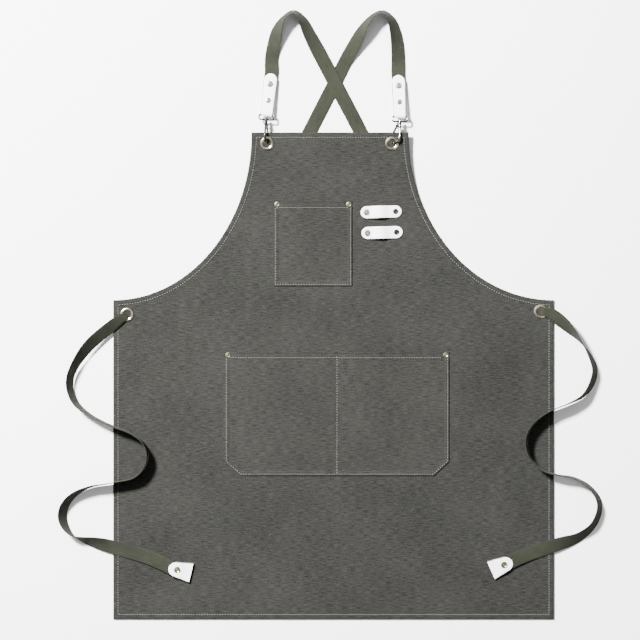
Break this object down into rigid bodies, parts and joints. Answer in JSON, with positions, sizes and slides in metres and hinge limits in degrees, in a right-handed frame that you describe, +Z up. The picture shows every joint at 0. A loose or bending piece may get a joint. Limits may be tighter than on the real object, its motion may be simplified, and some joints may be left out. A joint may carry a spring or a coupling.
{
  "type": "apron",
  "caption": "Canvas work apron laid flat, with patch pockets, leather tool loops, waist ties and crossed webbing shoulder straps on swivel snap hooks.",
  "frame": {"origin": "on the surface the apron lies on, under the middle of its overall length and of its skirt's width", "axes": "+X across the apron towards the tool loops' side, +Y from the hem to the bib and straps, +Z up off the surface, out of the apron's front face"},
  "size_m": [0.861, 0.968, 0.0256],
  "materials": {
    "canvas": "slubby plain-weave cotton canvas, matt",
    "pocket_canvas": "slubby plain-weave cotton canvas, matt",
    "webbing": "twill-woven cotton webbing, matt",
    "white_leather": "smooth white leather, satin",
    "nickel": "antique nickel plate",
    "pale_brass": "olive brass plate, worn bright at the rims"
  },
  "bodies": {
    "apron": {"canvas_panel": "canvas", "skirt_hem": "canvas", "bib_hem": "canvas", "bib_pocket": "pocket_canvas", "front_pocket": "pocket_canvas", "bib_pocket_rivets": "nickel", "front_pocket_rivets": "pale_brass", "bib_eyelet_left": "pale_brass", "bib_eyelet_right": "pale_brass", "side_eyelet_left": "pale_brass", "side_eyelet_right": "pale_brass", "eyelet_washers": "pale_brass", "shoulder_strap_left": "webbing", "shoulder_strap_right": "webbing", "loop_anchor_upper": "white_leather", "loop_anchor_lower": "white_leather", "loop_rivet_upper": "nickel", "loop_rivet_lower": "nickel", "loop_stud_upper": "nickel", "loop_stud_lower": "nickel", "waist_tie_left": "webbing", "waist_tie_right": "webbing", "tie_tip_left": "white_leather", "tie_tip_right": "white_leather", "tip_rivet_left": "pale_brass", "tip_rivet_right": "pale_brass"},
    "hook_left": {"hook_body_left": "nickel", "gate_pin_left": "nickel", "gate_spring_left": "nickel"},
    "gate_left": {"hook_gate_left": "nickel"},
    "ring_left": {"hook_ring_left": "nickel"},
    "tab_left": {"tab_left": "white_leather", "tab_rivets_left": "nickel", "strap_end_left": "webbing"},
    "hook_right": {"hook_body_right": "nickel", "gate_pin_right": "nickel", "gate_spring_right": "nickel"},
    "gate_right": {"hook_gate_right": "nickel"},
    "ring_right": {"hook_ring_right": "nickel"},
    "tab_right": {"tab_right": "white_leather", "tab_rivets_right": "nickel", "strap_end_right": "webbing"},
    "loop_upper": {"loop_strap_upper": "white_leather", "loop_cap_upper": "nickel"},
    "loop_lower": {"loop_strap_lower": "white_leather", "loop_cap_lower": "nickel"}
  },
  "joints": [
    {"name": "swing_left", "type": "hinge", "parent": "apron", "child": "hook_left", "pos_m": [-0.1053, 0.27227, 0.0109], "axis": [0, -0.0958, 0.9954], "range_deg": [-10, 10], "deforming": ["shoulder_strap_left"]},
    {"name": "gate_left", "type": "hinge", "parent": "hook_left", "child": "gate_left", "pos_m": [-0.10555, 0.30198, 0.0089], "axis": [0.9458, 0.029, 0.3234], "range_deg": [0, 10], "stiffness_Nm_per_rad": 0.02, "deforming": ["gate_spring_left"]},
    {"name": "swivel_left", "type": "hinge", "parent": "hook_left", "child": "ring_left", "pos_m": [-0.10658, 0.30978, 0.01122], "axis": [0.0824, 0.9419, -0.3256], "continuous": true, "deforming": ["shoulder_strap_left"]},
    {"name": "tilt_left", "type": "hinge", "parent": "ring_left", "child": "tab_left", "pos_m": [-0.10584, 0.31825, 0.00829], "axis": [0.9962, -0.0872, 0], "range_deg": [0, 30], "deforming": ["shoulder_strap_left"]},
    {"name": "swing_right", "type": "hinge", "parent": "apron", "child": "hook_right", "pos_m": [0.0925, 0.27227, 0.0109], "axis": [0, -0.0958, 0.9954], "range_deg": [-10, 10], "deforming": ["shoulder_strap_right"]},
    {"name": "gate_right", "type": "hinge", "parent": "hook_right", "child": "gate_right", "pos_m": [0.1008, 0.29979, 0.01075], "axis": [0.5708, -0.1663, -0.8041], "range_deg": [0, 10], "stiffness_Nm_per_rad": 0.02, "deforming": ["gate_spring_right"]},
    {"name": "swivel_right", "type": "hinge", "parent": "hook_right", "child": "ring_right", "pos_m": [0.10502, 0.30665, 0.01232], "axis": [0.0171, 0.9815, -0.1908], "continuous": true, "deforming": ["shoulder_strap_right"]},
    {"name": "tilt_right", "type": "hinge", "parent": "ring_right", "child": "tab_right", "pos_m": [0.10517, 0.31548, 0.01061], "axis": [0.9998, -0.0175, 0], "range_deg": [0, 30], "deforming": ["shoulder_strap_right"]},
    {"name": "open_loop_upper", "type": "hinge", "parent": "apron", "child": "loop_upper", "pos_m": [0.09099, 0.16469, 0.0046], "axis": [-0.0314, 0.9995, 0], "range_deg": [0, 95]},
    {"name": "open_loop_lower", "type": "hinge", "parent": "apron", "child": "loop_lower", "pos_m": [0.09249, 0.13189, 0.0046], "axis": [-0.0314, 0.9995, 0], "range_deg": [0, 95]}
  ]
}
